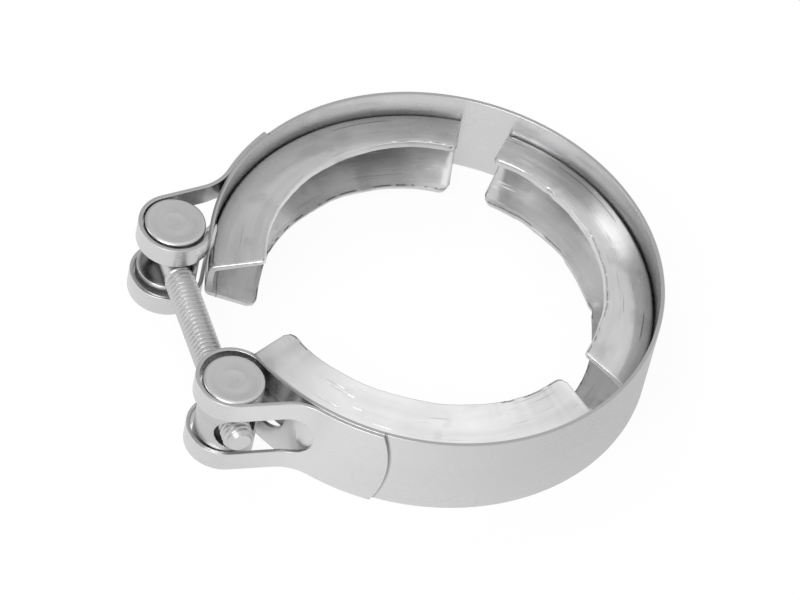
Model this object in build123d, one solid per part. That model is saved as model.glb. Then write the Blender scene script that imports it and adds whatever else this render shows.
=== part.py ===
from build123d import *
import os
from math import acos, asin, atan2, cos, degrees, hypot, radians, sin, tan

# V-band exhaust clamp, in millimetres, +Z up.
# The ring's axis is Z, its mid-plane is z = 0 and its opening faces -Y.
# Angles are measured at the ring's centre from the -Y axis, positive towards +X.

# Trunnions: two turned pins, cross-drilled for the bolt
trunnion_diameter = 12.0
trunnion_end_gap = 0.1
trunnion_chamfer = 0.5

# Band: one strip of sheet, rolled to a ring, with both ends folded round a trunnion
band_outer_radius = 44.5
band_width = 19.0
band_sheet = 0.8
loop_spacing = 38.7
loop_clearance = 0.5
loop_contact_gap = 0.1
leg_length = 8.7
leg_bend_radius = 10.0
tab_length = 14.7
tab_end_round = 24.7

# Windows in the loops that the bolt passes through
window_half_height = 4.9
inner_window_length = 8.2
outer_window_margin = 0.4

# V segments: three pressed channels, welded inside the band
segment_sheet = 1.3
segment_lip_radius = 33.3
segment_flank_angle = 16.6
segment_web_half_height = 3.9
segment_bend_radius = 1.8
segment_spans = {
    "v_segment_head_side": (-115.5, -15.5),
    "v_segment_back": (133.0, 231.5),
    "v_segment_nut_side": (15.3, 118.8),
}

# Bolt
bolt_diameter = 6.0
bolt_end_chamfer = 0.6
bolt_end_length = 8.1
head_diameter = 8.0
head_height = 4.3
head_edge_chamfer = 0.4
head_seat_gap = 0.3
hex_across_flats = 4.0
hex_depth = 2.4

# Holes for the bolt
nut_bore_clearance = 0.05
nut_relief_diameter = 8.2
nut_relief_depth = 3.6
head_slot_height = 6.4
head_slot_bottom_offset = 0.4
head_recess_clearance = 0.6
head_seat_offset = 2.0

# Sizes worked out from the ones above
half_width = band_width / 2
half_sheet = band_sheet / 2
band_inner_radius = band_outer_radius - band_sheet
band_mid_radius = band_outer_radius - half_sheet
tab_mid_radius = band_outer_radius + half_sheet
trunnion_radius = trunnion_diameter / 2
trunnion_length = band_width - 2 * trunnion_end_gap
bolt_radius = bolt_diameter / 2

# Loop: it leaves the ring where both circles touch
loop_mid_radius = trunnion_radius + loop_clearance + half_sheet
loop_center_radius = band_mid_radius + loop_mid_radius
loop_angle = degrees(asin(loop_spacing / 2 / loop_center_radius))

# Leg: it runs straight from the loop to a bend that lies against the ring
leg_reach = loop_mid_radius + leg_bend_radius
bend_center_radius = tab_mid_radius + leg_bend_radius
bend_distance = hypot(leg_reach, leg_length)
bend_cosine = (loop_center_radius**2 + bend_center_radius**2 - bend_distance**2) / (
    2 * loop_center_radius * bend_center_radius
)
tab_start_angle = loop_angle + degrees(acos(bend_cosine))
tab_end_angle = tab_start_angle + degrees(tab_length / tab_mid_radius)


def at(radius, angle):
    """Point in plan at a radius and an angle from the -Y axis."""
    return Vector(radius * sin(radians(angle)), -radius * cos(radians(angle)), 0)


def along(angle):
    """Direction in plan of increasing angle on the ring."""
    return Vector(cos(radians(angle)), sin(radians(angle)), 0)


loop_center = at(loop_center_radius, loop_angle)
trunnion_x = loop_center.X + loop_clearance - loop_contact_gap
trunnion_y = loop_center.Y


def arc_strip(center, radius, start, end, thickness):
    """Flat sector of a strip bent at a radius, from start to end in degrees from +X."""
    outer = CenterArc((center.X, center.Y), radius + thickness / 2, start, end - start)
    inner = CenterArc((center.X, center.Y), radius - thickness / 2, start, end - start)
    return make_face([outer, inner, Line(outer @ 0, inner @ 0), Line(outer @ 1, inner @ 1)])


def line_strip(start, end, thickness):
    """Flat sector of a strip that runs straight."""
    side = (end - start).normalized().rotate(Axis.Z, 90) * (thickness / 2)
    corners = [start + side, end + side, end - side, start - side]
    return make_face(Polyline(*[(c.X, c.Y) for c in corners], close=True))


def leg_route():
    """Bend centre, heading of the straight leg and its two ends."""
    bend_center = at(bend_center_radius, tab_start_angle)
    gap = bend_center - loop_center
    leave_angle = degrees(atan2(gap.Y, gap.X) - atan2(leg_length, leg_reach))
    outward = Vector(1, 0, 0).rotate(Axis.Z, leave_angle)
    leg_start = loop_center + outward * loop_mid_radius
    leg_end = bend_center - outward * leg_bend_radius
    return bend_center, leave_angle, leg_start, leg_end


def window_cutter(center, direction, depth, length):
    """Round-ended slot through a strip, which runs back from its end against direction."""
    across = direction.rotate(Axis.Z, -90)
    plane = Plane(origin=center, x_dir=direction, z_dir=across)
    end = Cylinder(window_half_height, depth)
    run = Pos(-length / 2, 0, 0) * Box(length, 2 * window_half_height, depth)
    return plane * (end + run)


def upright(face):
    """Solid of a plan shape over the band's width."""
    return extrude(face, half_width, both=True)


def ring_part():
    """Ring up to both loops, with the windows of the inner legs."""
    sweep_start = loop_angle - 90
    sweep_end = 270 - loop_angle
    ring = upright(arc_strip(Vector(0, 0, 0), band_mid_radius, sweep_start, sweep_end, band_sheet))
    run = inner_window_length - window_half_height
    center_angle = loop_angle + degrees(run / band_mid_radius)
    cutter = window_cutter(
        at(band_mid_radius, center_angle), along(center_angle), 4 * leg_reach, 2 * loop_mid_radius
    )
    return ring - cutter - mirror(cutter, about=Plane.YZ)


def loop_part():
    """Loop, outer leg and tab on the +X side, with the window of the loop."""
    bend_center, leave_angle, leg_start, leg_end = leg_route()
    loop_start = loop_angle + 90
    tab_heading = tab_start_angle
    loop = arc_strip(loop_center, loop_mid_radius, loop_start, 360 + leave_angle, band_sheet)
    leg = line_strip(leg_start, leg_end, band_sheet)
    bend = arc_strip(
        bend_center, leg_bend_radius, 90 + tab_heading, 180 + leave_angle, band_sheet
    )
    tab = arc_strip(
        Vector(0, 0, 0), tab_mid_radius, tab_start_angle - 90, tab_end_angle - 90, band_sheet
    )
    strap = upright(loop) + upright(leg) + upright(bend) + rounded_tab(upright(tab))
    window_turn = degrees((window_half_height + outer_window_margin) / leg_bend_radius)
    turn = 90 + tab_heading + window_turn
    window_end = bend_center + Vector(1, 0, 0).rotate(Axis.Z, turn) * leg_bend_radius
    heading = Vector(1, 0, 0).rotate(Axis.Z, turn - 90)
    return strap - window_cutter(window_end, heading, 4 * leg_reach, 4 * leg_reach)


def rounded_tab(tab):
    """Tab with its free end cut to a gentle convex arc."""
    center_angle = tab_end_angle - degrees(asin(tab_end_round / tab_mid_radius))
    plane = Plane(
        origin=at(tab_mid_radius, center_angle), x_dir=along(center_angle), z_dir=at(1, center_angle)
    )
    return tab & (plane * Cylinder(tab_end_round, 2 * tab_end_round))


def band():
    loop = loop_part()
    return ring_part() + loop + mirror(loop, about=Plane.YZ)


def trapezoid(web_x, web_z):
    """Shape between both flanges' faces, from the ring's axis out to the web."""
    mouth_z = web_z + web_x * tan(radians(segment_flank_angle))
    return make_face(
        Polyline((0, -mouth_z), (web_x, -web_z), (web_x, web_z), (0, mouth_z), close=True)
    )


def v_section():
    """Channel section in the XZ plane, open towards the ring's axis."""
    flank = radians(segment_flank_angle)
    web_step = segment_sheet * (1 / cos(flank) - tan(flank))
    outer = trapezoid(band_inner_radius, segment_web_half_height)
    outer_corners = outer.vertices().sort_by(Axis.X)[-2:]
    inner = trapezoid(band_inner_radius - segment_sheet, segment_web_half_height - web_step)
    lips = Rectangle(2 * segment_lip_radius, 4 * band_inner_radius)
    return Plane.XZ * (fillet(outer_corners, segment_bend_radius) - inner - lips)


def v_segment(start, end):
    """Channel rolled to the band's inside, over its span."""
    return Rot(0, 0, start - 90) * revolve(v_section(), Axis.Z, end - start)


def crosswise(solid, x):
    """Turned solid, drawn along Z, laid along X at the bolt's height."""
    return Pos(x, trunnion_y, 0) * Rot(0, 90, 0) * solid


def trunnion_blank():
    blank = Cylinder(trunnion_radius, trunnion_length)
    rims = blank.edges().filter_by(GeomType.CIRCLE)
    return chamfer(rims, trunnion_chamfer)


def bore(radius, start, end):
    """Hole along X from start to end, measured from the pin's axis."""
    return Pos((start + end) / 2, 0, 0) * Rot(0, 90, 0) * Cylinder(radius, end - start)


def nut_trunnion():
    """Pin that the bolt screws into; the hole is relieved where the bolt's end comes out."""
    radius = bolt_radius + nut_bore_clearance
    relief_floor = trunnion_radius - nut_relief_depth
    pin = trunnion_blank()
    pin -= bore(radius, -trunnion_diameter, relief_floor)
    pin -= bore(nut_relief_diameter / 2, relief_floor, trunnion_diameter)
    return Pos(trunnion_x, trunnion_y, 0) * pin


def head_trunnion():
    """Pin with a round-bottomed slot, open to -Y, for the bolt, and a recess for its head."""
    recess_radius = head_diameter / 2 + head_recess_clearance
    forwards = (Align.CENTER, Align.MAX, Align.CENTER)
    slot = bore(head_slot_height / 2, -trunnion_diameter, trunnion_diameter)
    slot += Box(2 * trunnion_diameter, trunnion_diameter, head_slot_height, align=forwards)
    pin = trunnion_blank() - Pos(0, head_slot_bottom_offset, 0) * slot
    pin -= bore(recess_radius, -trunnion_diameter, -head_seat_offset)
    return Pos(-trunnion_x, trunnion_y, 0) * pin


def bolt():
    """Screw with a small round head and a hexagon socket; the thread's crests are its surface."""
    shank_start = -trunnion_x - head_seat_offset - head_seat_gap
    shank_end = trunnion_x + bolt_end_length
    upwards = (Align.CENTER, Align.CENTER, Align.MIN)
    downwards = (Align.CENTER, Align.CENTER, Align.MAX)
    shank = Cylinder(bolt_radius, shank_end - shank_start, align=upwards)
    shank = chamfer(shank.faces().sort_by(Axis.Z)[-1].edges(), bolt_end_chamfer)
    head = Cylinder(head_diameter / 2, head_height, align=downwards)
    head = chamfer(head.faces().sort_by(Axis.Z)[0].edges(), head_edge_chamfer)
    hexagon = RegularPolygon(hex_across_flats / 2, 6, major_radius=False)
    socket = Pos(0, 0, -head_height) * extrude(hexagon, hex_depth)
    return crosswise(shank + head - socket, shank_start)


def save(node, solid):
    solid.label = node
    export_step(solid, f"parts/{node}.step")


os.makedirs("parts", exist_ok=True)
save("band", band())
for node, (start, end) in segment_spans.items():
    save(node, v_segment(start, end))
save("head_trunnion", head_trunnion())
save("nut_trunnion", nut_trunnion())
save("bolt", bolt())
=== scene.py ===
from math import acos, asin, atan2, ceil, cos, exp, hypot, pi, radians, sin, tan

import bmesh
import bpy
from mathutils import Matrix, Vector, noise


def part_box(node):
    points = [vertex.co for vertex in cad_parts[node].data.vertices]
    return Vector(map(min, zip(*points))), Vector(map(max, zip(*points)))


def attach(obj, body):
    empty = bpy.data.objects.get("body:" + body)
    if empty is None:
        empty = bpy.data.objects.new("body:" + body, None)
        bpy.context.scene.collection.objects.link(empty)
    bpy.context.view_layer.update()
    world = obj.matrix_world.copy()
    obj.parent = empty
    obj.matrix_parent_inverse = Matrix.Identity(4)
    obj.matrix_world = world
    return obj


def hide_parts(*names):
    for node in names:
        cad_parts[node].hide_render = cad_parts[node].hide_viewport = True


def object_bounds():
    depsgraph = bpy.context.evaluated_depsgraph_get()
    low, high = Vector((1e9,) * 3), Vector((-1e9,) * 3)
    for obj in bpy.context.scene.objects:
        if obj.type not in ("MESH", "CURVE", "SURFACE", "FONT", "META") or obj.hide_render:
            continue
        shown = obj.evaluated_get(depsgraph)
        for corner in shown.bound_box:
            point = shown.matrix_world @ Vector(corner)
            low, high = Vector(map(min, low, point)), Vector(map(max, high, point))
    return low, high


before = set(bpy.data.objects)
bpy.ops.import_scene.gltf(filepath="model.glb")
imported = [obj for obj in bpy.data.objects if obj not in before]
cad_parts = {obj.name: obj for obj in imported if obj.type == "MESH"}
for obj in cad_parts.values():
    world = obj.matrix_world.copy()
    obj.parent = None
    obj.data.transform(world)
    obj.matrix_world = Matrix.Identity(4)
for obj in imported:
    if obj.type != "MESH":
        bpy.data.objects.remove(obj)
cad_low, cad_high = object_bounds()

MM = 0.001
UP = Vector((0, 0, 1))

# Strap: one strip, rolled to the ring and folded round both trunnions
STRAP_WIDTH = 19.0 * MM
STRAP_SHEET = 0.8 * MM
RING_OUTER_RADIUS = cad_high.x
LOOP_SPACING = 38.7 * MM
LOOP_CLEARANCE = 0.5 * MM
TRUNNION_RADIUS = 6.0 * MM
LEG_LENGTH = 8.7 * MM
LEG_BEND_RADIUS = 10.0 * MM
TAB_LENGTH = 14.7 * MM
TAB_END_ROUND = 24.7 * MM
WINDOW_HALF_HEIGHT = 4.9 * MM
INNER_WINDOW_LENGTH = 8.2 * MM
OUTER_WINDOW_MARGIN = 0.4 * MM

RING_MID_RADIUS = RING_OUTER_RADIUS - STRAP_SHEET / 2
TAB_MID_RADIUS = RING_OUTER_RADIUS + STRAP_SHEET / 2
LOOP_MID_RADIUS = TRUNNION_RADIUS + LOOP_CLEARANCE + STRAP_SHEET / 2
LOOP_CENTER_RADIUS = RING_MID_RADIUS + LOOP_MID_RADIUS
LOOP_ANGLE = asin(LOOP_SPACING / 2 / LOOP_CENTER_RADIUS)
BEND_CENTER_RADIUS = TAB_MID_RADIUS + LEG_BEND_RADIUS
LEG_REACH = LOOP_MID_RADIUS + LEG_BEND_RADIUS
BEND_DISTANCE = hypot(LEG_REACH, LEG_LENGTH)
TAB_START_ANGLE = LOOP_ANGLE + acos(
    (LOOP_CENTER_RADIUS**2 + BEND_CENTER_RADIUS**2 - BEND_DISTANCE**2)
    / (2 * LOOP_CENTER_RADIUS * BEND_CENTER_RADIUS)
)
TAB_END_ARC = RING_OUTER_RADIUS * (TAB_START_ANGLE + TAB_LENGTH / TAB_MID_RADIUS)
WELD_FROM_END = 4.2 * MM
WELD_HEIGHT = 3.7 * MM
WELD_RADIUS = 2.0 * MM

# V segments: start and end from the -Y axis, in degrees, towards +X
SEGMENT_SPANS = {
    "v_segment_head_side": (-115.5, -15.5),
    "v_segment_back": (133.0, 231.5),
    "v_segment_nut_side": (15.3, 118.8),
}
SEGMENT_SHEET = 1.3 * MM
SEGMENT_LIP_RADIUS = 33.3 * MM
SEGMENT_WEB_HALF_HEIGHT = 3.9 * MM
SEGMENT_FLANK = radians(16.6)
SEGMENT_BEND_RADIUS = 1.8 * MM
SEGMENT_WEB_RADIUS = RING_OUTER_RADIUS - STRAP_SHEET
FLANK_ROWS = (0.02, 0.05, 0.1, 0.2, 0.35, 0.5, 0.65, 0.76, 0.85, 0.93, 1.0)
SEGMENT_LIP_HEIGHT = (
    SEGMENT_WEB_HALF_HEIGHT + (SEGMENT_WEB_RADIUS - SEGMENT_LIP_RADIUS) * tan(SEGMENT_FLANK)
)
LIP_WAVE = 0.42 * MM
LIP_BURR = 0.06 * MM
LIP_CORNER_RADIUS = 1.8 * MM
SHARP_LIP_CORNER_RADIUS = 0.5 * MM
LIP_NOTCH = 1.1 * MM
FLANK_WAVE = 0.09 * MM
CREASE_RADIUS = 41.3 * MM
END_WEB_BOW = 0.6 * MM
END_WEB_BOW_REACH = 4 * MM
END_FLARE = 0.35 * MM
END_FLARE_REACH = 1.4 * MM
END_ROLL = 0.22 * MM
END_ROLL_REACH = 0.5 * MM
BOWED_LIP = "v_segment_nut_side"
LIP_BOW = 0.9 * MM
# Segment whose steel is darker towards its first end, over this angle
DARKENED_END_SEGMENT = "v_segment_nut_side"
DARKENED_END_ANGLE = radians(30)
SKEWED_SEGMENT = "v_segment_back"
SKEW = 2.2 * MM
SKEW_REACH = 16 * MM
BEND_DROP = 1.1 * MM
BEND_DROP_WIDTH = 4.5 * MM
BEND_DROP_REACH = 55 * MM

# Places inside the lower flanges that the painted channel shade leaves out: middle and half width, in
# degrees
UNSHADED_PATCHES = ((-116, 18), (-48, 13), (195, 36))

# Bolt
PITCH = 1.0 * MM
CREST_RADIUS = 3.0 * MM
ROOT_RADIUS = 2.42 * MM
BOLT_Y = (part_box("bolt")[0].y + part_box("bolt")[1].y) / 2
BOLT_START, BOLT_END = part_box("bolt")[0].x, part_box("bolt")[1].x
HEAD_RADIUS = 4.0 * MM
HEAD_HEIGHT = 4.3 * MM
HEAD_EDGE = 0.4 * MM
SOCKET_ACROSS_FLATS = 4.0 * MM
SOCKET_DEPTH = 2.4 * MM
SOCKET_POINT = 0.5 * MM
THREAD_STEPS = 28
BOLT_END_CHAMFER = 1.0 * MM
NECK_LENGTH = 9.6 * MM
NECK_RADIUS = 2.7 * MM

# Trunnions
PIN_HALF_LENGTH = 9.4 * MM
PIN_CHAMFER = 0.5 * MM
PIN_DISH = 0.05 * MM
PIN_RING_RADIUS = 2.5 * MM
NUT_BORE_RADIUS = 3.05 * MM
NUT_RELIEF_RADIUS = 4.1 * MM
NUT_RELIEF_DEPTH = 3.6 * MM
HEAD_SLOT_HALF_HEIGHT = 3.2 * MM
HEAD_SLOT_BOTTOM = 0.4 * MM
HEAD_RECESS_RADIUS = 4.6 * MM
HEAD_SEAT = 2.0 * MM

# Photograph's camera
PHOTO_WIDTH = 800
FOCAL_PIXELS = 6000
SENSOR_WIDTH = 36
CAMERA_AZIMUTH = radians(61.9)
CAMERA_ELEVATION = radians(49.1)
CAMERA_ROLL = 0.2350
CAMERA_DISTANCE = 1160.4 * MM
CAMERA_TARGET = Vector((-0.15 * MM, -6.15 * MM, 0))

# Studio: where along a way the floor's glow changes, in metres, and its levels there
FLOOR_FALL_WAY = (0.5, 0.866, 0)
FLOOR_FALLS = ((-0.04, 0.06, 1.06, 0.56), (-0.03, -0.013, 0.78, 0.97))
GREY_RING_ELEVATIONS = (5, 68)
GREY_RING_DISTANCE = 1.4
GREY_RING_LEVEL = 0.60
GREY_RING_GAIN = 0.18
GREY_RING_LIGHT_SIDE = (-0.174, 0.985, 0)

FLOOR_BELOW = 0.02 * MM
FLOOR_ALBEDO = 0.9
WORLD_LEVEL = 0.62

# Where the round grain patterns start and end, out of sight
RING_SEAM = radians(144)
PIN_SEAM = radians(90)

# Share of the steel's colour that each mark takes away: wear, a darker segment end, and painted shade
# and shadow
PAINTED_GROOVE_SHADE = 0.24
PAINTED_TAB_END_SHADOW = 0.5
BEHIND_LEG_SHADE = 0.45
SHEARED_EDGE_DULL = 0.3
WELD_DULL = 0.02
PAINTED_CHANNEL_SHADE = 0.36
PAINTED_WEB_CORNER_SHADE = 0.12
BLOT_DULL = 0.1
FRONT_END_DARKENING = 0.38
PAINTED_CREASE_SHADE = 0.5
BORE_SHADE = 0.55


def new_piece(name, bm, body, material):
    """Object from a finished bmesh, shaded smooth, riding on its body."""
    mesh = bpy.data.meshes.new(name)
    bm.to_mesh(mesh)
    bm.free()
    mesh.materials.append(material)
    mesh.polygons.foreach_set("use_smooth", [True] * len(mesh.polygons))
    piece = bpy.data.objects.new(name, mesh)
    bpy.context.scene.collection.objects.link(piece)
    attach(piece, body)
    return piece


def round_rims(piece, width, segments=3):
    """Small rounding on every cut edge, and flat faces that stay flat in the light."""
    bevel = piece.modifiers.new("rims", "BEVEL")
    bevel.width = width
    bevel.segments = segments
    bevel.limit_method = "ANGLE"
    bevel.angle_limit = radians(50)
    bevel.use_clamp_overlap = False
    weighted = piece.modifiers.new("shading", "WEIGHTED_NORMAL")
    weighted.keep_sharp = True


def thicken(piece, sheet, offset=0.0):
    shell = piece.modifiers.new("sheet", "SOLIDIFY")
    shell.thickness = sheet
    shell.offset = offset
    shell.use_even_offset = True


# Strap

def strap_route():
    """Stretches from the ring's back to the tab's end on +X: length, left turn per metre, step."""
    loop_center = Vector((sin(LOOP_ANGLE), -cos(LOOP_ANGLE))) * LOOP_CENTER_RADIUS
    bend_center = Vector((sin(TAB_START_ANGLE), -cos(TAB_START_ANGLE))) * BEND_CENTER_RADIUS
    gap = bend_center - loop_center
    leave = atan2(gap.y, gap.x) - atan2(LEG_LENGTH, LEG_REACH)
    loop_turn = 1.5 * pi + leave - LOOP_ANGLE
    bend_turn = pi / 2 + leave - TAB_START_ANGLE
    return [
        (RING_MID_RADIUS * (pi - LOOP_ANGLE), -1 / RING_MID_RADIUS, 1.6 * MM),
        (LOOP_MID_RADIUS * loop_turn, 1 / LOOP_MID_RADIUS, 0.7 * MM),
        (LEG_LENGTH, 0, 1.5 * MM),
        (LEG_BEND_RADIUS * bend_turn, -1 / LEG_BEND_RADIUS, 0.7 * MM),
        (TAB_LENGTH, 1 / TAB_MID_RADIUS, 1.5 * MM),
    ]


def walk(point, heading, length, turn):
    """Point and heading after a length on an arc or a straight run."""
    if turn == 0:
        return point + Vector((cos(heading), sin(heading))) * length, heading
    turned = heading + length * turn
    step = Vector((sin(turned) - sin(heading), cos(heading) - cos(turned))) / turn
    return point + step, turned


def bend_to_route(bm, route):
    """Rolls and folds a flat blank that lies along X, as the strap is formed."""
    starts = [(0.0, Vector((0, RING_MID_RADIUS)), 0.0)]
    for length, turn, step in route:
        s, point, heading = starts[-1]
        starts.append((s + length, *walk(point, heading, length, turn)))
    for v in bm.verts:
        along = v.co.x
        index = max(i for i in range(len(route)) if starts[i][0] <= along + 1e-9 or i == 0)
        s, point, heading = starts[index]
        place, heading = walk(point, heading, along - s, route[index][1])
        v.co = Vector((place.x, place.y, v.co.y))


def outline_window(bm, start, end):
    """Round-ended slot in the flat blank."""
    slot = bmesh.ops.create_circle(bm, segments=56, radius=WINDOW_HALF_HEIGHT)["verts"]
    near = start + WINDOW_HALF_HEIGHT
    far = end - WINDOW_HALF_HEIGHT
    for v in slot:
        v.co.x += near if v.co.x < 0 else far


def outline_blank(bm, length):
    """Rectangle of the blank whose far end is a gentle convex arc."""
    corners = [(0, -1), (length, -1), (length, 1), (0, 1)]
    verts = [bm.verts.new((x, y * STRAP_WIDTH / 2, 0)) for x, y in corners]
    edges = [bm.edges.new((verts[i], verts[(i + 1) % 4])) for i in range(4)]
    bmesh.ops.subdivide_edges(bm, edges=[edges[1]], cuts=15)
    for v in bm.verts:
        if v.co.x > length / 2:
            v.co.x = length - TAB_END_ROUND + (TAB_END_ROUND**2 - v.co.y**2) ** 0.5


def strap_half():
    """Flat blank of one half, with its window, cut across at every bending step, then bent."""
    route = strap_route()
    ends = [sum(r[0] for r in route[:i]) for i in range(len(route) + 1)]
    bm = bmesh.new()
    outline_blank(bm, ends[-1])
    outline_window(bm, ends[1] - INNER_WINDOW_LENGTH, ends[4] - OUTER_WINDOW_MARGIN)
    bmesh.ops.triangle_fill(bm, use_beauty=True, edges=bm.edges[:])
    for (length, turn, step), start in zip(route, ends):
        cuts = ceil(length / step)
        for i in range(cuts):
            cut_across(bm, start + length * i / cuts)
    bmesh.ops.remove_doubles(bm, verts=bm.verts, dist=0.08 * MM)
    store_flat_map(bm)
    bend_to_route(bm, route)
    return bm


def cut_across(bm, x):
    if x > 0:
        bmesh.ops.bisect_plane(
            bm, geom=bm.verts[:] + bm.edges[:] + bm.faces[:], plane_co=(x, 0, 0), plane_no=(1, 0, 0)
        )


def store_flat_map(bm):
    """UV map that keeps each point's place on the flat blank, in units of 10 mm."""
    layer = bm.loops.layers.uv.new("flat")
    for face in bm.faces:
        for loop in face.loops:
            loop[layer].uv = (loop.vert.co.x / (10 * MM), loop.vert.co.y / (10 * MM))


def build_strap(material):
    bm = strap_half()
    bmesh.ops.mirror(bm, geom=bm.verts[:] + bm.edges[:] + bm.faces[:], merge_dist=1e-6, axis="X")
    bmesh.ops.recalc_face_normals(bm, faces=bm.faces)
    strap = new_piece("band_strap", bm, "ring", material)
    thicken(strap, STRAP_SHEET)
    round_rims(strap, 0.12 * MM)
    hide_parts("band")


# V segments

def segment_chain(bm):
    """Outer line of the channel's section, from the lower lip over the web to the upper lip."""
    web_x = SEGMENT_WEB_RADIUS
    bend_angle = pi / 2 - SEGMENT_FLANK
    setback = SEGMENT_BEND_RADIUS * tan(bend_angle / 2)
    flank = Vector((cos(SEGMENT_FLANK), 0, sin(SEGMENT_FLANK)))
    corner = Vector((web_x, 0, -SEGMENT_WEB_HALF_HEIGHT))
    chain = [bm.verts.new((SEGMENT_LIP_RADIUS, 0, -SEGMENT_LIP_HEIGHT))]
    bend_start = corner - flank * setback
    lip = chain[0].co.copy()
    for share in FLANK_ROWS:
        extend_chain(bm, chain, lip.lerp(bend_start, share))
    center = Vector((web_x - SEGMENT_BEND_RADIUS, 0, corner.z + setback))
    spin_chain(bm, chain, center, -bend_angle, 6)
    extend_chain(bm, chain, Vector((web_x, 0, 0)))
    return chain


def extend_chain(bm, chain, place):
    grown = bmesh.ops.extrude_vert_indiv(bm, verts=[chain[-1]])["verts"][0]
    grown.co = place
    chain.append(grown)


def spin_chain(bm, chain, center, angle, steps):
    before = set(bm.verts)
    bmesh.ops.spin(
        bm, geom=[chain[-1]], cent=center, axis=(0, 1, 0), angle=angle, steps=steps, use_merge=False
    )
    added = [v for v in bm.verts if v not in before]
    chain.extend(added)


def press_unevenly(bm, middle, half_span, lip_bow, upper_corner, rolled):
    """Rounds the lips' corners, makes lips and flanks uneven, and shapes the ends."""
    axis = Vector((sin(middle), -cos(middle)))
    flank_depth = SEGMENT_WEB_RADIUS - SEGMENT_LIP_RADIUS
    for v in bm.verts:
        radius = hypot(v.co.x, v.co.y)
        outward = Vector((v.co.x, v.co.y)) / radius
        side = 1 if v.co.z > 0 else -1
        reach = min(1, max(0, (SEGMENT_WEB_RADIUS - radius) / flank_depth))
        to_end = (half_span - acos(min(1, axis.dot(outward)))) * radius
        rounding = upper_corner if side > 0 else LIP_CORNER_RADIUS
        cut = max(0, rounding - to_end)
        corner = rounding - max(0, rounding**2 - cut**2) ** 0.5
        bow = lip_bow * sin(pi * min(1, to_end / (half_span * radius)) / 2)
        place = Vector((outward.x * 4.6, outward.y * 4.6, side * 3.1 + middle))
        wave = noise.noise(place)
        burr = noise.noise(place * 5.3) + 0.6 * noise.noise(place * 13.7)
        sway = noise.noise(place * 0.9 + Vector((0, 0, 7.7)))
        lip_move = (corner - bow) * reach
        notch = LIP_NOTCH * max(0, noise.noise(place * 1.7 + Vector((3.3, 0, 0))) - 0.3)
        moved = radius + lip_move + (LIP_WAVE * wave + notch) * reach**2
        moved += LIP_BURR * burr * reach**12
        flare = END_FLARE * exp(-to_end / END_FLARE_REACH)
        if rolled and side > 0:
            flare = -END_ROLL * exp(-to_end / END_ROLL_REACH)
        v.co.z -= side * lip_move * tan(SEGMENT_FLANK)
        v.co.z += side * reach * (FLANK_WAVE * (sway + 0.3 * burr) + flare)
        if reach == 0:
            bulge = 1 - min(1, abs(v.co.z) / SEGMENT_WEB_HALF_HEIGHT) ** 2
            moved -= END_WEB_BOW * bulge * exp(-to_end / END_WEB_BOW_REACH)
        v.co.x, v.co.y = outward * moved


def skew_start(bm, start):
    """At the first end the lower lip reaches past the upper one and the bends are softer."""
    axis = Vector((sin(start), -cos(start)))
    for v in bm.verts:
        radius = hypot(v.co.x, v.co.y)
        side = 1 if v.co.z > 0 else -1
        to_end = acos(max(-1, min(1, axis.dot(Vector((v.co.x, v.co.y))) / radius))) * radius
        share = max(0, 1 - to_end / SKEW_REACH) * (SEGMENT_LIP_HEIGHT - v.co.z) / 2
        from_web = max(0, SEGMENT_WEB_RADIUS - radius)
        soft = max(0, 1 - from_web / BEND_DROP_WIDTH) ** 2 * max(0, 1 - to_end / BEND_DROP_REACH)
        v.co.z -= side * min(abs(v.co.z) / 2, BEND_DROP * soft)
        turn = Matrix.Rotation(-SKEW * share / SEGMENT_LIP_HEIGHT / radius, 3, "Z")
        v.co = turn @ v.co


def build_segment(name, span, material):
    start, end = (radians(a) for a in span)
    bm = bmesh.new()
    segment_chain(bm)
    bmesh.ops.mirror(bm, geom=bm.verts[:] + bm.edges[:], merge_dist=1e-6, axis="Z")
    bmesh.ops.rotate(
        bm, verts=bm.verts, cent=(0, 0, 0), matrix=Matrix.Rotation(start - pi / 2, 3, "Z")
    )
    steps = ceil((end - start) * RING_OUTER_RADIUS / (0.7 * MM))
    bmesh.ops.spin(
        bm, geom=bm.verts[:] + bm.edges[:], cent=(0, 0, 0), axis=(0, 0, 1),
        angle=end - start, steps=steps, use_merge=False,
    )
    bowed = name == BOWED_LIP
    press_unevenly(
        bm, (start + end) / 2, (end - start) / 2, LIP_BOW if bowed else 0,
        LIP_CORNER_RADIUS if bowed else SHARP_LIP_CORNER_RADIUS, rolled=not bowed,
    )
    if name == SKEWED_SEGMENT:
        skew_start(bm, start)
    bmesh.ops.recalc_face_normals(bm, faces=bm.faces)
    piece = new_piece(name + "_pressing", bm, "ring", material)
    thicken(piece, SEGMENT_SHEET, offset=-1.0)
    round_rims(piece, 0.19 * MM)
    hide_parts(name)


# Bolt

def build_bolt(material):
    bm = bmesh.new()
    thread_shank(bm)
    socket_head(bm)
    bmesh.ops.translate(bm, verts=bm.verts, vec=(0, BOLT_Y, 0))
    bmesh.ops.recalc_face_normals(bm, faces=bm.faces)
    bolt = new_piece("threaded_bolt", bm, "screw", material)
    bolt.data.set_sharp_from_angle(angle=radians(40))
    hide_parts("bolt")


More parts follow.
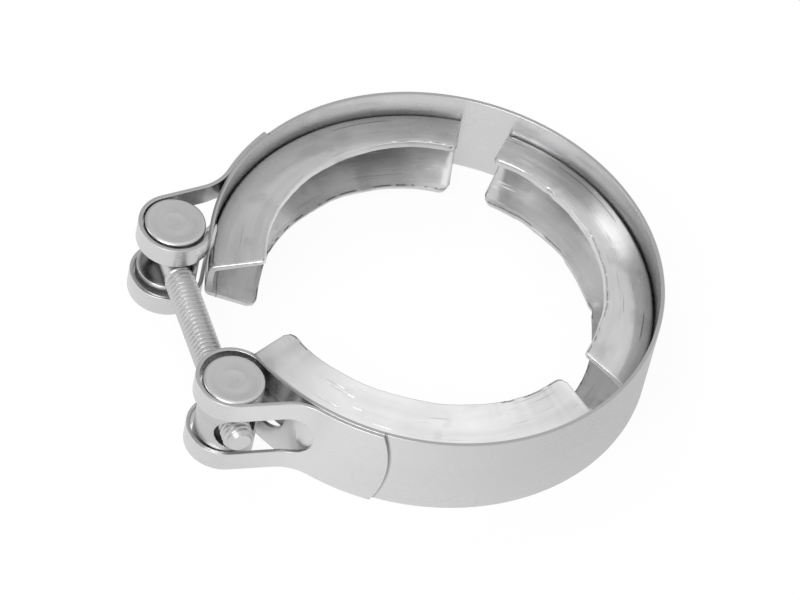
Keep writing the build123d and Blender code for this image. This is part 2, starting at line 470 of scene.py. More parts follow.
def thread_shank(bm):
    """Helical thread with a plain neck at the head and a taper at the free end."""
    start = BOLT_START + HEAD_HEIGHT - HEAD_EDGE
    turns = ceil((BOLT_END - start) / PITCH) + 2
    profile = [
        (0.0, ROOT_RADIUS), (0.12, ROOT_RADIUS), (0.22, ROOT_RADIUS + 0.06 * MM),
        (0.50, CREST_RADIUS - 0.07 * MM), (0.56, CREST_RADIUS), (0.64, CREST_RADIUS),
        (0.70, CREST_RADIUS - 0.07 * MM), (0.98, ROOT_RADIUS + 0.04 * MM), (1.0, ROOT_RADIUS),
    ]
    first = start - PITCH
    chain = [bm.verts.new((first + x * PITCH, 0, r)) for x, r in profile]
    edges = [bm.edges.new(pair) for pair in zip(chain, chain[1:])]
    bmesh.ops.spin(
        bm, geom=chain + edges, cent=(0, 0, 0), axis=(1, 0, 0),
        dvec=(PITCH / THREAD_STEPS, 0, 0), angle=2 * pi * turns, steps=THREAD_STEPS * turns,
        use_merge=False,
    )
    bmesh.ops.remove_doubles(bm, verts=bm.verts, dist=0.002 * MM)
    for x, side in ((start, -1), (BOLT_END, 1)):
        bmesh.ops.bisect_plane(
            bm, geom=bm.verts[:] + bm.edges[:] + bm.faces[:], plane_co=(x, 0, 0),
            plane_no=(side, 0, 0), clear_outer=True,
        )
    neck_end = start + NECK_LENGTH
    for v in bm.verts:
        limit = CREST_RADIUS - max(0, v.co.x - (BOLT_END - BOLT_END_CHAMFER)) * 0.9
        radius = hypot(v.co.y, v.co.z)
        filled = min(1, max(0, (neck_end - v.co.x) / PITCH))
        target = min(limit, radius + (NECK_RADIUS - radius) * filled)
        v.co.y *= target / radius
        v.co.z *= target / radius
    bmesh.ops.holes_fill(bm, edges=[e for e in bm.edges if e.is_boundary], sides=0)


def socket_head(bm):
    """Small round head with a hexagon socket, drilled to a point."""
    hexagon = bmesh.ops.create_circle(
        bm, segments=6, radius=SOCKET_ACROSS_FLATS / 2 / cos(pi / 6)
    )["verts"]
    rim = bmesh.ops.create_circle(bm, segments=60, radius=HEAD_RADIUS - HEAD_EDGE)["verts"]
    flat = dict.fromkeys(e for v in hexagon + rim for e in v.link_edges)
    bmesh.ops.triangle_fill(bm, use_beauty=True, edges=list(flat))
    rim_edges = [e for v in rim for e in v.link_edges if e.other_vert(v) in set(rim)]
    rim_edges = [e for e in dict.fromkeys(rim_edges) if len(e.link_faces) == 1]
    hex_edges = [e for v in hexagon for e in v.link_edges if e.other_vert(v) in set(hexagon)]
    hex_edges = [e for e in dict.fromkeys(hex_edges) if len(e.link_faces) == 1]
    side = extrude_ring(bm, rim_edges, HEAD_EDGE, HEAD_RADIUS / (HEAD_RADIUS - HEAD_EDGE))
    side = extrude_ring(bm, side, HEAD_HEIGHT - HEAD_EDGE, 1)
    bmesh.ops.edgeloop_fill(bm, edges=side)
    floor_edges = extrude_ring(bm, hex_edges, SOCKET_DEPTH, 1)
    floor = bmesh.ops.edgeloop_fill(bm, edges=floor_edges)["faces"]
    point = bmesh.ops.poke(bm, faces=floor)["verts"]
    bmesh.ops.translate(bm, vec=(0, 0, SOCKET_POINT), verts=point)
    head_verts = set(hexagon) | set(rim)
    grown = set()
    queue = list(head_verts)
    while queue:
        v = queue.pop()
        if v not in grown:
            grown.add(v)
            queue.extend(e.other_vert(v) for e in v.link_edges)
    lay = Matrix.Translation((BOLT_START, 0, 0)) @ Matrix.Rotation(pi / 2, 4, "Y")
    bmesh.ops.transform(bm, matrix=lay, verts=list(grown))


def extrude_ring(bm, edges, depth, scale):
    grown = bmesh.ops.extrude_edge_only(bm, edges=edges)["geom"]
    verts = [g for g in grown if isinstance(g, bmesh.types.BMVert)]
    bmesh.ops.scale(bm, vec=(scale, scale, 1), verts=verts)
    bmesh.ops.translate(bm, vec=(0, 0, depth), verts=verts)
    return [g for g in grown if isinstance(g, bmesh.types.BMEdge)]


# Trunnions

def turned_pin(bm, center):
    """Solid pin with rounded rims and a dished end face that keeps the lathe tool's ring."""
    outline = [
        (0, -0.1 * MM), (PIN_RING_RADIUS - 0.5 * MM, -0.12 * MM), (PIN_RING_RADIUS, -0.06 * MM),
        (PIN_RING_RADIUS + 0.5 * MM, -0.12 * MM), (4.2 * MM, -PIN_DISH), (5.2 * MM, 0),
        (TRUNNION_RADIUS - PIN_CHAMFER, 0),
        (TRUNNION_RADIUS - 0.22 * PIN_CHAMFER, -0.32 * PIN_CHAMFER),
        (TRUNNION_RADIUS, -PIN_CHAMFER),
    ]
    top = [(r, PIN_HALF_LENGTH + drop) for r, drop in outline]
    bottom = [(r, -z) for r, z in reversed(top)]
    chain = [bm.verts.new((r, 0, z)) for r, z in top + bottom]
    edges = [bm.edges.new(pair) for pair in zip(chain, chain[1:])]
    bmesh.ops.spin(
        bm, geom=chain + edges, cent=(0, 0, 0), axis=UP, angle=2 * pi, steps=96, use_merge=True
    )
    bmesh.ops.remove_doubles(bm, verts=bm.verts, dist=0.002 * MM)
    bmesh.ops.translate(bm, verts=bm.verts, vec=center)
    bmesh.ops.recalc_face_normals(bm, faces=bm.faces)


def cross_bore(bm, center, radius, start, end):
    """Closed cutter along X, from start to end measured from the pin's axis."""
    middle = center + Vector(((start + end) / 2, 0, 0))
    lay = Matrix.Translation(middle) @ Matrix.Rotation(pi / 2, 4, "Y")
    bmesh.ops.create_cone(
        bm, cap_ends=True, segments=64, radius1=radius, radius2=radius, depth=end - start, matrix=lay
    )


def bolt_slot(bm, center):
    """Closed cutter: a round-bottomed slot that runs along X and is open to -Y."""
    width = 4 * TRUNNION_RADIUS
    rounding = [i * pi / 32 - pi / 2 for i in range(33)]
    outline = [
        (HEAD_SLOT_BOTTOM + HEAD_SLOT_HALF_HEIGHT * cos(a), HEAD_SLOT_HALF_HEIGHT * sin(a))
        for a in rounding
    ]
    outline += [(-width / 2, HEAD_SLOT_HALF_HEIGHT), (-width / 2, -HEAD_SLOT_HALF_HEIGHT)]
    face = bm.faces.new([bm.verts.new(center + Vector((-width / 2, y, z))) for y, z in outline])
    grown = bmesh.ops.extrude_face_region(bm, geom=[face], use_keep_orig=True)["geom"]
    bmesh.ops.translate(
        bm, verts=[g for g in grown if isinstance(g, bmesh.types.BMVert)], vec=(width, 0, 0)
    )


def nut_bore(bm, center):
    cross_bore(bm, center, NUT_BORE_RADIUS, -2 * TRUNNION_RADIUS, 2 * TRUNNION_RADIUS)


def nut_relief(bm, center):
    relief_floor = TRUNNION_RADIUS - NUT_RELIEF_DEPTH
    cross_bore(bm, center, NUT_RELIEF_RADIUS, relief_floor, 2 * TRUNNION_RADIUS)


def head_recess(bm, center):
    cross_bore(bm, center, HEAD_RECESS_RADIUS, -2 * TRUNNION_RADIUS, -HEAD_SEAT)


def cut_away(piece, add_cutter):
    """Cuts a shape out of a piece, for good."""
    bm = bmesh.new()
    add_cutter(bm)
    bmesh.ops.recalc_face_normals(bm, faces=bm.faces)
    mesh = bpy.data.meshes.new("cutter")
    bm.to_mesh(mesh)
    bm.free()
    tool = bpy.data.objects.new("cutter", mesh)
    bpy.context.scene.collection.objects.link(tool)
    cut = piece.modifiers.new("cut", "BOOLEAN")
    cut.object = tool
    cut.operation = "DIFFERENCE"
    cut.solver = "EXACT"
    finished = piece.evaluated_get(bpy.context.evaluated_depsgraph_get())
    shape = bpy.data.meshes.new_from_object(finished)
    piece.modifiers.remove(cut)
    piece.data = shape
    bpy.data.objects.remove(tool)


def build_pin(name, body, node_name, cutters, material):
    near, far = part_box(node_name)
    center = (near + far) / 2
    bm = bmesh.new()
    turned_pin(bm, center)
    pin = new_piece(name, bm, body, material)
    for cutter in cutters:
        cut_away(pin, lambda bm: cutter(bm, center))
    pin.data.set_sharp_from_angle(angle=radians(50))
    round_rims(pin, 0.1 * MM, segments=2)
    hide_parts(node_name)


# Materials

def node(tree, kind, inputs=None, **settings):
    """Shader node with its settings, and its inputs given as values or as other sockets."""
    made = tree.nodes.new(kind)
    for key, value in settings.items():
        setattr(made, key, value)
    for key, value in (inputs or {}).items():
        if isinstance(value, bpy.types.NodeSocket):
            tree.links.new(value, made.inputs[key])
        else:
            made.inputs[key].default_value = value
    return made


def math_node(tree, operation, a, b=None, clamp=False):
    inputs = {0: a} if b is None else {0: a, 1: b}
    return node(tree, "ShaderNodeMath", inputs, operation=operation, use_clamp=clamp).outputs[0]


def product(tree, *masks):
    made = masks[0]
    for mask in masks[1:]:
        made = math_node(tree, "MULTIPLY", made, mask)
    return made


def apart(tree, a, b):
    """How far two values are from one another."""
    return math_node(tree, "ABSOLUTE", math_node(tree, "SUBTRACT", a, b))


def diagonal(tree, a, b):
    squares = [math_node(tree, "POWER", side, 2.0) for side in (a, b)]
    return math_node(tree, "SQRT", math_node(tree, "ADD", *squares))


def new_group(name, inputs, outputs):
    group = bpy.data.node_groups.new(name, "ShaderNodeTree")
    for label, kind, value in inputs:
        made = group.interface.new_socket(name=label, in_out="INPUT", socket_type=kind)
        if value is not None:
            made.default_value = value
    for label, kind in outputs:
        group.interface.new_socket(name=label, in_out="OUTPUT", socket_type=kind)
    start = group.nodes.new("NodeGroupInput")
    end = group.nodes.new("NodeGroupOutput")
    return group, start.outputs, end.inputs


def ring_place_group():
    """Place on a round piece: metres around a centre, from the centre, and up."""
    group, given, put = new_group(
        "ring_place",
        [("Vector", "NodeSocketVector", None), ("Center", "NodeSocketVector", (0, 0, 0)),
         ("Seam", "NodeSocketFloat", 0.0), ("Radius", "NodeSocketFloat", 0.04)],
        [("Vector", "NodeSocketVector"), ("From Center", "NodeSocketFloat")],
    )
    centred = node(
        group, "ShaderNodeVectorMath", {0: given["Vector"], 1: given["Center"]}, operation="SUBTRACT"
    ).outputs[0]
    turned = node(
        group, "ShaderNodeVectorRotate", {"Vector": centred, "Angle": given["Seam"]},
        rotation_type="Z_AXIS",
    ).outputs[0]
    part = node(group, "ShaderNodeSeparateXYZ", {0: turned}).outputs
    around = math_node(group, "ARCTAN2", part["Y"], part["X"])
    flat = node(group, "ShaderNodeCombineXYZ", {"X": part["X"], "Y": part["Y"]}).outputs[0]
    out = node(group, "ShaderNodeVectorMath", {0: flat}, operation="LENGTH").outputs["Value"]
    along = math_node(group, "MULTIPLY", around, given["Radius"])
    place = node(group, "ShaderNodeCombineXYZ", {"X": along, "Y": out, "Z": part["Z"]}).outputs[0]
    group.links.new(place, put["Vector"])
    group.links.new(out, put["From Center"])
    return group


def stretched_noise(tree, place, scale, detail, turn=0.0):
    """Noise drawn out along the X of a place in metres."""
    drawn = node(
        tree, "ShaderNodeMapping",
        {"Vector": place, "Scale": scale, "Rotation": (0, 0, turn)},
    ).outputs[0]
    inputs = {"Vector": drawn, "Scale": 1.0, "Detail": detail}
    return node(tree, "ShaderNodeTexNoise", inputs).outputs[0]


def about_zero(tree, value, amount):
    return math_node(tree, "MULTIPLY", math_node(tree, "SUBTRACT", value, 0.5), amount)


def worn_steel_group():
    """Cloudy tone, soft streaks and fine grain along X, and thin scratches across it."""
    group, given, put = new_group(
        "worn_steel",
        [
            ("Vector", "NodeSocketVector", None),
            ("Color", "NodeSocketColor", (0.7, 0.7, 0.7, 1)),
            ("Roughness", "NodeSocketFloat", 0.3),
            ("Cloud", "NodeSocketFloat", 0.3),
            ("Streak", "NodeSocketFloat", 0.3),
            ("Scratch", "NodeSocketFloat", 0.3),
            ("Grain", "NodeSocketFloat", 0.3),
        ],
        [
            ("Color", "NodeSocketColor"),
            ("Roughness", "NodeSocketFloat"),
            ("Height", "NodeSocketFloat"),
        ],
    )
    place = given["Vector"]
    cloud = stretched_noise(group, place, (70.0, 140.0, 140.0), 4.0)
    streak = stretched_noise(group, place, (28.0, 430.0, 430.0), 3.0)
    grain = stretched_noise(group, place, (260.0, 5200.0, 5200.0), 3.0)
    lines = stretched_noise(group, place, (60.0, 2600.0, 2600.0), 1.0, turn=0.9)
    crossing = stretched_noise(group, place, (75.0, 2100.0, 2100.0), 1.0, turn=-0.5)
    lines = math_node(group, "MAXIMUM", lines, crossing)
    scratch = node(
        group, "ShaderNodeMapRange", {"Value": lines, "From Min": 0.71, "From Max": 0.78}
    ).outputs[0]
    scratch = math_node(group, "MULTIPLY", scratch, given["Scratch"])
    tone = math_node(
        group, "ADD", about_zero(group, cloud, given["Cloud"]),
        about_zero(group, streak, given["Streak"]),
    )
    tone = math_node(group, "ADD", tone, 1.0)
    tone = math_node(group, "SUBTRACT", tone, math_node(group, "MULTIPLY", scratch, 0.45))
    shade = node(
        group, "ShaderNodeVectorMath", {0: given["Color"], "Scale": tone}, operation="SCALE"
    ).outputs[0]
    group.links.new(shade, put["Color"])
    spread = math_node(
        group, "ADD", about_zero(group, cloud, 0.22), about_zero(group, streak, given["Streak"])
    )
    rough = math_node(group, "ADD", given["Roughness"], spread, clamp=True)
    group.links.new(rough, put["Roughness"])
    relief = math_node(
        group, "ADD", about_zero(group, streak, given["Streak"]),
        about_zero(group, grain, given["Grain"]),
    )
    group.links.new(math_node(group, "SUBTRACT", relief, scratch), put["Height"])
    return group


def ring_coordinates(tree):
    """Angle round the ring, height and distance from its axis, for a strap or segment material."""
    turned = node(tree, "ShaderNodeGroup", node_tree=ring_place)
    tree.links.new(object_place(tree), turned.inputs["Vector"])
    turned.inputs["Seam"].default_value = RING_SEAM
    turned.inputs["Radius"].default_value = 1.0
    part = node(tree, "ShaderNodeSeparateXYZ", {0: turned.outputs["Vector"]}).outputs
    height = math_node(tree, "ABSOLUTE", part["Z"])
    return part["X"], height, turned.outputs["From Center"]


def seam_angle(start, end):
    """Middle of a segment's span, as the ring's coordinates count it from their seam."""
    return (radians((start + end) / 2) + RING_SEAM - pi / 2 + pi) % (2 * pi) - pi


def ramp(tree, value, low, high):
    """Zero below one value and one above the other, softly."""
    return node(
        tree, "ShaderNodeMapRange", {"Value": value, "From Min": low, "From Max": high},
        interpolation_type="SMOOTHSTEP",
    ).outputs[0]


def from_middle(tree, angle, start, end):
    """Angle from the middle of a span given in degrees."""
    return apart(tree, angle, seam_angle(start, end))


def add_strap_wear_and_shade(material):
    """Painted shade in the groove and behind the leg, a painted shadow line at the tab ends, dull edges
    and weld marks.
    """
    tree = material.node_tree
    angle, height, out = ring_coordinates(tree)
    beside = None
    for start, end in SEGMENT_SPANS.values():
        half = radians(end - start) / 2
        inside = ramp(tree, from_middle(tree, angle, start, end), half + 0.01, half - 0.03)
        beside = inside if beside is None else math_node(tree, "MAXIMUM", beside, inside)
    low = ramp(tree, height, 8.4 * MM, 4.6 * MM)
    inner = math_node(tree, "LESS_THAN", out, RING_MID_RADIUS)
    # Painted shade: the strap's inner face darker low in the groove beside each segment
    darken(tree, product(tree, beside, low, inner), PAINTED_GROOVE_SHADE)

    place = node(tree, "ShaderNodeSeparateXYZ", {0: object_place(tree)}).outputs
    from_front = math_node(
        tree, "ARCTAN2", math_node(tree, "ABSOLUTE", place["X"]),
        math_node(tree, "MULTIPLY", place["Y"], -1.0),
    )
    arc = math_node(tree, "MULTIPLY", from_front, RING_OUTER_RADIUS)
    crown = math_node(tree, "DIVIDE", math_node(tree, "POWER", height, 2.0), 2 * TAB_END_ROUND)
    past_tab = math_node(tree, "SUBTRACT", math_node(tree, "ADD", arc, crown), TAB_END_ARC)
    outer = product(
        tree, math_node(tree, "GREATER_THAN", out, RING_MID_RADIUS),
        math_node(tree, "LESS_THAN", out, RING_OUTER_RADIUS + 0.1 * MM),
    )
    line = product(
        tree, ramp(tree, past_tab, -0.3 * MM, 0.0), ramp(tree, past_tab, 0.75 * MM, 0.1 * MM), outer
    )
    # Painted shadow: a dark line on the ring just past each tab's end
    darken(tree, line, PAINTED_TAB_END_SHADOW)
    tab_start = RING_OUTER_RADIUS * TAB_START_ANGLE
    behind_leg = product(
        tree, ramp(tree, arc, tab_start, tab_start - 5 * MM),
        ramp(tree, place["Z"], 2 * MM, 6 * MM), outer,
    )
    darken(tree, behind_leg, BEHIND_LEG_SHADE)

    normal = node(tree, "ShaderNodeTexCoord").outputs["Normal"]
    facing = node(tree, "ShaderNodeSeparateXYZ", {0: normal}).outputs["Z"]
    edge = ramp(tree, math_node(tree, "ABSOLUTE", facing), 0.6, 0.9)
    darken(tree, edge, SHEARED_EDGE_DULL)
    roughen(tree, edge, 0.12)

    blank_length = sum(stretch[0] for stretch in strap_route())
    flat = node(tree, "ShaderNodeSeparateXYZ", {0: flat_blank_place(tree)}).outputs
    along = math_node(tree, "SUBTRACT", flat["X"], blank_length - WELD_FROM_END)
    across = math_node(tree, "SUBTRACT", math_node(tree, "ABSOLUTE", flat["Y"]), WELD_HEIGHT)
    reach = diagonal(tree, along, across)
    rim = product(
        tree, ramp(tree, reach, WELD_RADIUS - 0.7 * MM, WELD_RADIUS),
        ramp(tree, reach, WELD_RADIUS + 0.5 * MM, WELD_RADIUS),
    )
    darken(tree, rim, WELD_DULL)
    dent = ramp(tree, reach, WELD_RADIUS - 0.6 * MM, WELD_RADIUS + 0.3 * MM)
    shader = tree.nodes["Principled BSDF"]
    press = node(tree, "ShaderNodeBump", {"Height": dent, "Distance": 0.03 * MM})
    tree.links.new(shader.inputs["Normal"].links[0].from_socket, press.inputs["Normal"])
    tree.links.new(press.outputs["Normal"], shader.inputs["Normal"])


def darken(tree, mask, amount):
    """Takes a share of the base colour away where the mask is one."""
    shader = tree.nodes["Principled BSDF"]
    keep = math_node(tree, "SUBTRACT", 1.0, math_node(tree, "MULTIPLY", mask, amount))
    color = shader.inputs["Base Color"].links[0].from_socket
    dulled = node(tree, "ShaderNodeVectorMath", {0: color, "Scale": keep}, operation="SCALE")
    tree.links.new(dulled.outputs[0], shader.inputs["Base Color"])


def roughen(tree, mask, amount):
    shader = tree.nodes["Principled BSDF"]
    smooth = shader.inputs["Roughness"].links[0].from_socket
    rough = math_node(tree, "ADD", smooth, math_node(tree, "MULTIPLY", mask, amount), clamp=True)
    tree.links.new(rough, shader.inputs["Roughness"])


def add_channel_wear_and_shade(material):
    """Painted shade in the channel, by the strap and along a crease, darker steel at one segment's
    first end, dull steel in patches, and rough lips and cut ends.
    """
    tree = material.node_tree
    angle, height, out = ring_coordinates(tree)
    from_web = math_node(tree, "SUBTRACT", SEGMENT_WEB_RADIUS, out)
    flank = math_node(tree, "MULTIPLY", from_web, tan(SEGMENT_FLANK))
    below = math_node(tree, "SUBTRACT", math_node(tree, "ADD", flank, SEGMENT_WEB_HALF_HEIGHT), height)
    rise = node(tree, "ShaderNodeSeparateXYZ", {0: object_place(tree)}).outputs["Z"]
    inside = ramp(tree, below, 0.85 * MM, 1.2 * MM)
    for middle, half_width in UNSHADED_PATCHES:
        off = from_middle(tree, angle, middle, middle)
        inside = product(tree, inside, ramp(tree, off, radians(half_width / 3), radians(half_width)))
    # Painted shade inside the lower channels, left out in a few patches
    darken(tree, product(tree, inside, ramp(tree, rise, 2.0 * MM, -2.0 * MM)), PAINTED_CHANNEL_SHADE)
    lip = ramp(tree, out, SEGMENT_LIP_RADIUS + 1.0 * MM, SEGMENT_LIP_RADIUS + 0.4 * MM)
    roughen(tree, product(tree, lip, math_node(tree, "LESS_THAN", rise, 0.0)), 0.3)
    # Painted shade at the web corner, beside the strap
    darken(tree, ramp(tree, out, 40.8 * MM, 43.4 * MM), PAINTED_WEB_CORNER_SHADE)
    for start, end in SEGMENT_SPANS.values():
        off = from_middle(tree, angle, start, end)
        half = radians(end - start) / 2
        sheared = product(
            tree, ramp(tree, off, half - 0.016, half - 0.006),
            ramp(tree, off, half + 0.08, half + 0.07),
        )
        roughen(tree, sheared, 0.15)
    patch = stretched_noise(tree, object_place(tree), (130.0, 130.0, 130.0), 2.0)
    blot = ramp(tree, patch, 0.56, 0.66)
    darken(tree, blot, BLOT_DULL)
    roughen(tree, blot, 0.06)
    # Darker towards the first end of one segment, in cloudy patches
    start = SEGMENT_SPANS[DARKENED_END_SEGMENT][0]
    from_start = from_middle(tree, angle, start, start)
    cloudy = math_node(tree, "ADD", patch, 0.45, clamp=True)
    darken(tree, product(tree, ramp(tree, from_start, DARKENED_END_ANGLE, 0.0), cloudy), FRONT_END_DARKENING)
    # Painted shade along a crease line, broken in places
    crease = ramp(tree, apart(tree, out, CREASE_RADIUS), 0.22 * MM, 0.05 * MM)
    breaks = stretched_noise(tree, object_place(tree), (70.0, 70.0, 70.0), 3.0)
    darken(tree, product(tree, crease, ramp(tree, breaks, 0.48, 0.56)), PAINTED_CREASE_SHADE)


def add_bore_shade(material, center):
    """Painted shade in the holes of a pin, away from both end faces."""
    tree = material.node_tree
    away = node(
        tree, "ShaderNodeVectorMath", {0: object_place(tree), 1: center}, operation="SUBTRACT"
    ).outputs[0]
    part = node(tree, "ShaderNodeSeparateXYZ", {0: away}).outputs
    out = diagonal(tree, part["X"], part["Y"])
    height = math_node(tree, "ABSOLUTE", part["Z"])
    deep = product(
        tree, ramp(tree, out, TRUNNION_RADIUS - 0.15 * MM, TRUNNION_RADIUS - 0.8 * MM),
        ramp(tree, height, PIN_HALF_LENGTH - 0.4 * MM, PIN_HALF_LENGTH - 1.4 * MM),
    )
    darken(tree, deep, BORE_SHADE)


def steel(name, place, color, roughness, cloud, streak, scratch, grain, bump=0.03 * MM):
    """Steel whose wear runs along the X of a place, which the given function lays out."""
    material = bpy.data.materials.new(name)
    material.use_nodes = True
    tree = material.node_tree
    shader = tree.nodes["Principled BSDF"]
    shader.inputs["Metallic"].default_value = 1.0
    wear = node(tree, "ShaderNodeGroup", node_tree=worn_steel)
    tree.links.new(place(tree), wear.inputs["Vector"])
    wear.inputs["Color"].default_value = (*color, 1)
    for label, value in (
        ("Roughness", roughness), ("Cloud", cloud), ("Streak", streak), ("Scratch", scratch),
        ("Grain", grain),
    ):
        wear.inputs[label].default_value = value
    tree.links.new(wear.outputs["Color"], shader.inputs["Base Color"])
    tree.links.new(wear.outputs["Roughness"], shader.inputs["Roughness"])
    relief = node(tree, "ShaderNodeBump", {"Height": wear.outputs["Height"], "Distance": bump})
    tree.links.new(relief.outputs["Normal"], shader.inputs["Normal"])
    return material


def object_place(tree):
    return node(tree, "ShaderNodeTexCoord").outputs["Object"]


def flat_blank_place(tree):
    """Metres along and across the strap's flat blank."""
    flat = node(tree, "ShaderNodeUVMap", uv_map="flat").outputs[0]
    return node(
        tree, "ShaderNodeVectorMath", {0: flat, "Scale": 10 * MM}, operation="SCALE"
    ).outputs[0]


def around_place(center, radius, seam, fineness=1.0):
    """Place function for an upright round piece; fineness packs its pattern closer along Y and Z."""
    def place(tree):
        turned = node(tree, "ShaderNodeGroup", node_tree=ring_place)
        tree.links.new(object_place(tree), turned.inputs["Vector"])
        turned.inputs["Center"].default_value = center
        turned.inputs["Seam"].default_value = seam
        turned.inputs["Radius"].default_value = radius
        return node(
            tree, "ShaderNodeVectorMath",
            {0: turned.outputs["Vector"], 1: (1.0, fineness, fineness)}, operation="MULTIPLY",
        ).outputs[0]
    return place


# Studio

def build_camera():
    data = bpy.data.cameras.new("photo_camera")
    data.sensor_width = SENSOR_WIDTH
    data.lens = FOCAL_PIXELS / PHOTO_WIDTH * SENSOR_WIDTH
    data.clip_end = 10
    camera = bpy.data.objects.new("photo_camera", data)
    back = Vector((
        sin(CAMERA_AZIMUTH) * cos(CAMERA_ELEVATION),
        -cos(CAMERA_AZIMUTH) * cos(CAMERA_ELEVATION),
        sin(CAMERA_ELEVATION),
    ))
    level = UP.cross(back).normalized()
    upright = back.cross(level)
    right = cos(CAMERA_ROLL) * level + sin(CAMERA_ROLL) * upright
    up = back.cross(right)
    turn = Matrix((right, up, back)).transposed().to_4x4()
    camera.matrix_world = Matrix.Translation(CAMERA_TARGET + back * CAMERA_DISTANCE) @ turn
    bpy.context.scene.collection.objects.link(camera)
    bpy.context.scene.camera = camera


def white_to_the_eye(tree, shader, strength, in_steel, fall=None):
    """Camera, glossy and transmission rays see plain white; the others see the shader."""
    path = node(tree, "ShaderNodeLightPath")
    level = 1.0
    if fall:
        level = math_node(tree, "MAXIMUM", fall, path.outputs["Is Camera Ray"])
    mirrored = math_node(tree, "MULTIPLY", path.outputs["Is Glossy Ray"], in_steel)
    seen = math_node(tree, "MAXIMUM", path.outputs["Is Camera Ray"], mirrored)
    seen = math_node(tree, "MAXIMUM", seen, path.outputs["Is Transmission Ray"])
    in_world = shader.bl_idname == "ShaderNodeBackground"
    kind = "ShaderNodeBackground" if in_world else "ShaderNodeEmission"
    white = node(tree, kind, {"Color": (1, 1, 1, 1), "Strength": level})
    factor = math_node(tree, "MULTIPLY", seen, strength)
    return node(
        tree, "ShaderNodeMixShader", {0: factor, 1: shader.outputs[0], 2: white.outputs[0]}
    ).outputs[0]


def bare_material(name):
    """New material and its tree, which holds the output alone."""
    material = bpy.data.materials.new(name)
    material.use_nodes = True
    tree = material.node_tree
    tree.nodes.remove(tree.nodes["Principled BSDF"])
    return material, tree


def add_scenery(name, bm, material):
    mesh = bpy.data.meshes.new(name)
    bm.to_mesh(mesh)
    bm.free()
    mesh.materials.append(material)
    scenery = bpy.data.objects.new(name, mesh)
    bpy.context.scene.collection.objects.link(scenery)


def build_floor():
    bm = bmesh.new()
    bmesh.ops.create_grid(bm, x_segments=1, y_segments=1, size=3.0)
    bmesh.ops.translate(bm, verts=bm.verts, vec=(0, 0, cad_low.z - FLOOR_BELOW))
    material, tree = bare_material("white_floor")
    albedo = (FLOOR_ALBEDO, FLOOR_ALBEDO, FLOOR_ALBEDO, 1)
    matte = node(tree, "ShaderNodeBsdfDiffuse", {"Color": albedo})
    across = node(
        tree, "ShaderNodeVectorMath", {0: object_place(tree), 1: FLOOR_FALL_WAY},
        operation="DOT_PRODUCT",
    ).outputs["Value"]
    levels = []
    for from_low, from_high, to_low, to_high in FLOOR_FALLS:
        levels.append(node(
            tree, "ShaderNodeMapRange",
            {
                "Value": across, "From Min": from_low, "From Max": from_high,
                "To Min": to_low, "To Max": to_high,
            },
        ).outputs[0])
    fall = math_node(tree, "MINIMUM", *levels)
    mixed = white_to_the_eye(tree, matte, 0.94, 0.8, fall)
    tree.links.new(mixed, tree.nodes["Material Output"].inputs["Surface"])
    add_scenery("studio_floor", bm, material)


def build_world():
    world = bpy.data.worlds.new("studio_white")
    bpy.context.scene.world = world
    world.use_nodes = True
    tree = world.node_tree
    soft = tree.nodes["Background"]
    soft.inputs["Color"].default_value = (1, 1, 1, 1)
    soft.inputs["Strength"].default_value = WORLD_LEVEL
    mixed = white_to_the_eye(tree, soft, 1.0, 1.0)
    tree.links.new(mixed, tree.nodes["World Output"].inputs["Surface"])


def build_grey_ring():
    """Grey ring of cards between backdrop and top light, which only shows in the steel."""
    low, high = radians(GREY_RING_ELEVATIONS[0]), radians(GREY_RING_ELEVATIONS[1])
    bm = bmesh.new()
    chain = [
        bm.verts.new((cos(e) * GREY_RING_DISTANCE, 0, sin(e) * GREY_RING_DISTANCE))
        for e in (low + (high - low) * i / 8 for i in range(9))
    ]
    edges = [bm.edges.new(pair) for pair in zip(chain, chain[1:])]
    bmesh.ops.spin(
        bm, geom=chain + edges, cent=(0, 0, 0), axis=(0, 0, 1), angle=2 * pi, steps=48, use_merge=True
    )
    material, tree = bare_material("grey_card")
    way = node(
        tree, "ShaderNodeVectorMath", {0: object_place(tree)}, operation="NORMALIZE"
    ).outputs[0]
    to_light_side = node(
        tree, "ShaderNodeVectorMath", {0: way, 1: GREY_RING_LIGHT_SIDE}, operation="DOT_PRODUCT"
    ).outputs["Value"]
    gain = math_node(tree, "MULTIPLY", to_light_side, GREY_RING_GAIN)
    level = math_node(tree, "ADD", gain, GREY_RING_LEVEL)
    rise = node(tree, "ShaderNodeSeparateXYZ", {0: way}).outputs["Z"]
    fades = [
        node(tree, "ShaderNodeMapRange", {"Value": rise, "From Min": edge, "From Max": full}).outputs[0]
        for edge, full in ((sin(low), sin(low) + 0.08), (sin(high), sin(high) - 0.12))
    ]
    cover = product(tree, *fades, node(tree, "ShaderNodeLightPath").outputs["Is Glossy Ray"])
    clear = node(tree, "ShaderNodeBsdfTransparent")
    card = node(tree, "ShaderNodeEmission", {"Color": (1, 1, 1, 1), "Strength": level})
    mixed = node(
        tree, "ShaderNodeMixShader", {0: cover, 1: clear.outputs[0], 2: card.outputs[0]}
    ).outputs[0]
    tree.links.new(mixed, tree.nodes["Material Output"].inputs["Surface"])
    add_scenery("grey_ring", bm, material)


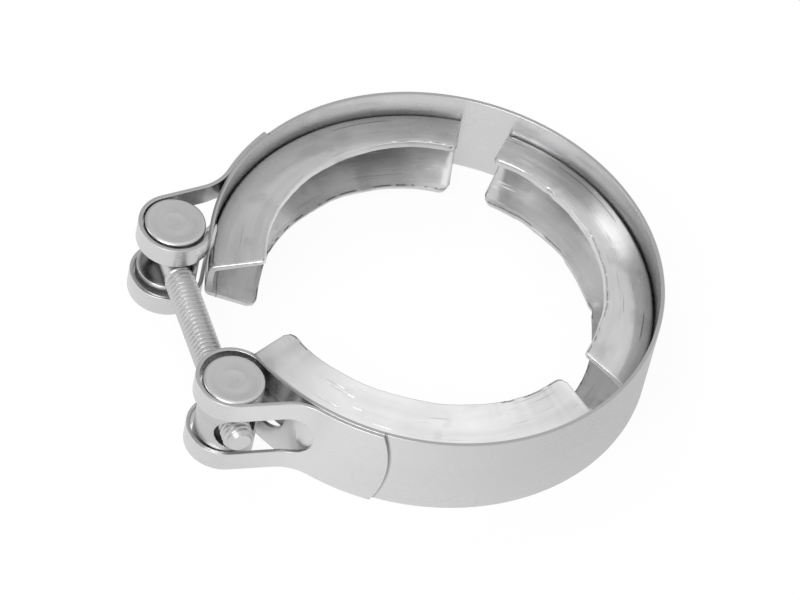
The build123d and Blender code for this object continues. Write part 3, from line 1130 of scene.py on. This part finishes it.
def build_lamp(name, azimuth, elevation, distance, size, power, in_steel=True):
    """Soft square lamp that looks at the clamp, and may stay out of its reflections."""
    data = bpy.data.lights.new(name, "AREA")
    data.size = size
    data.energy = power
    lamp = bpy.data.objects.new(name, data)
    a, e = radians(azimuth), radians(elevation)
    towards = Vector((sin(a) * cos(e), -cos(a) * cos(e), sin(e)))
    lamp.location = towards * distance
    lamp.rotation_euler = towards.to_track_quat("Z", "Y").to_euler()
    lamp.visible_glossy = in_steel
    bpy.context.scene.collection.objects.link(lamp)


ring_place = ring_place_group()
worn_steel = worn_steel_group()
on_ring = around_place((0, 0, 0), RING_OUTER_RADIUS, RING_SEAM)
strap_steel = steel(
    "strap_steel", flat_blank_place, (0.75, 0.746, 0.75), roughness=0.26, cloud=0.05, streak=0.05,
    scratch=0.0, grain=0.0, bump=0.01 * MM,
)
pressed_steel = steel(
    "pressed_steel", on_ring, (0.76, 0.756, 0.76), roughness=0.19, cloud=0.40, streak=0.3,
    scratch=0.3, grain=0.06, bump=0.09 * MM,
)
add_strap_wear_and_shade(strap_steel)
add_channel_wear_and_shade(pressed_steel)
screw_steel = steel(
    "screw_steel", object_place, (0.68, 0.678, 0.68), roughness=0.36, cloud=0.2, streak=0.05,
    scratch=0.1, grain=0.1,
)

build_strap(strap_steel)
for segment, span in SEGMENT_SPANS.items():
    build_segment(segment, span, pressed_steel)
build_bolt(screw_steel)
for node_name, name, body, cutters in (
    ("nut_trunnion", "nut_pin_turned", "nut_pin", [nut_bore, nut_relief]),
    ("head_trunnion", "head_pin_turned", "head_pin", [bolt_slot, head_recess]),
):
    near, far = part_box(node_name)
    axis = ((near.x + far.x) / 2, (near.y + far.y) / 2, 0)
    turned_steel = steel(
        name + "_steel", around_place(axis, TRUNNION_RADIUS, PIN_SEAM, fineness=2.5),
        (0.64, 0.638, 0.64), roughness=0.3, cloud=0.16, streak=0.16, scratch=0.0, grain=0.0,
        bump=0.02 * MM,
    )
    add_bore_shade(turned_steel, axis)
    build_pin(name, body, node_name, cutters, turned_steel)

build_camera()
build_floor()
build_world()
build_grey_ring()
build_lamp("front_lamp", 42, 47, 1.0, 0.55, 5.0)
build_lamp("strip_lamp", -20, 24, 1.0, 0.4, 1.0)
build_lamp("top_lamp", 62, 84, 0.9, 1.0, 0.25)
build_lamp("key_lamp", -75, 52, 1.0, 0.45, 2.6, in_steel=False)
bpy.context.scene.view_settings.view_transform = "Standard"
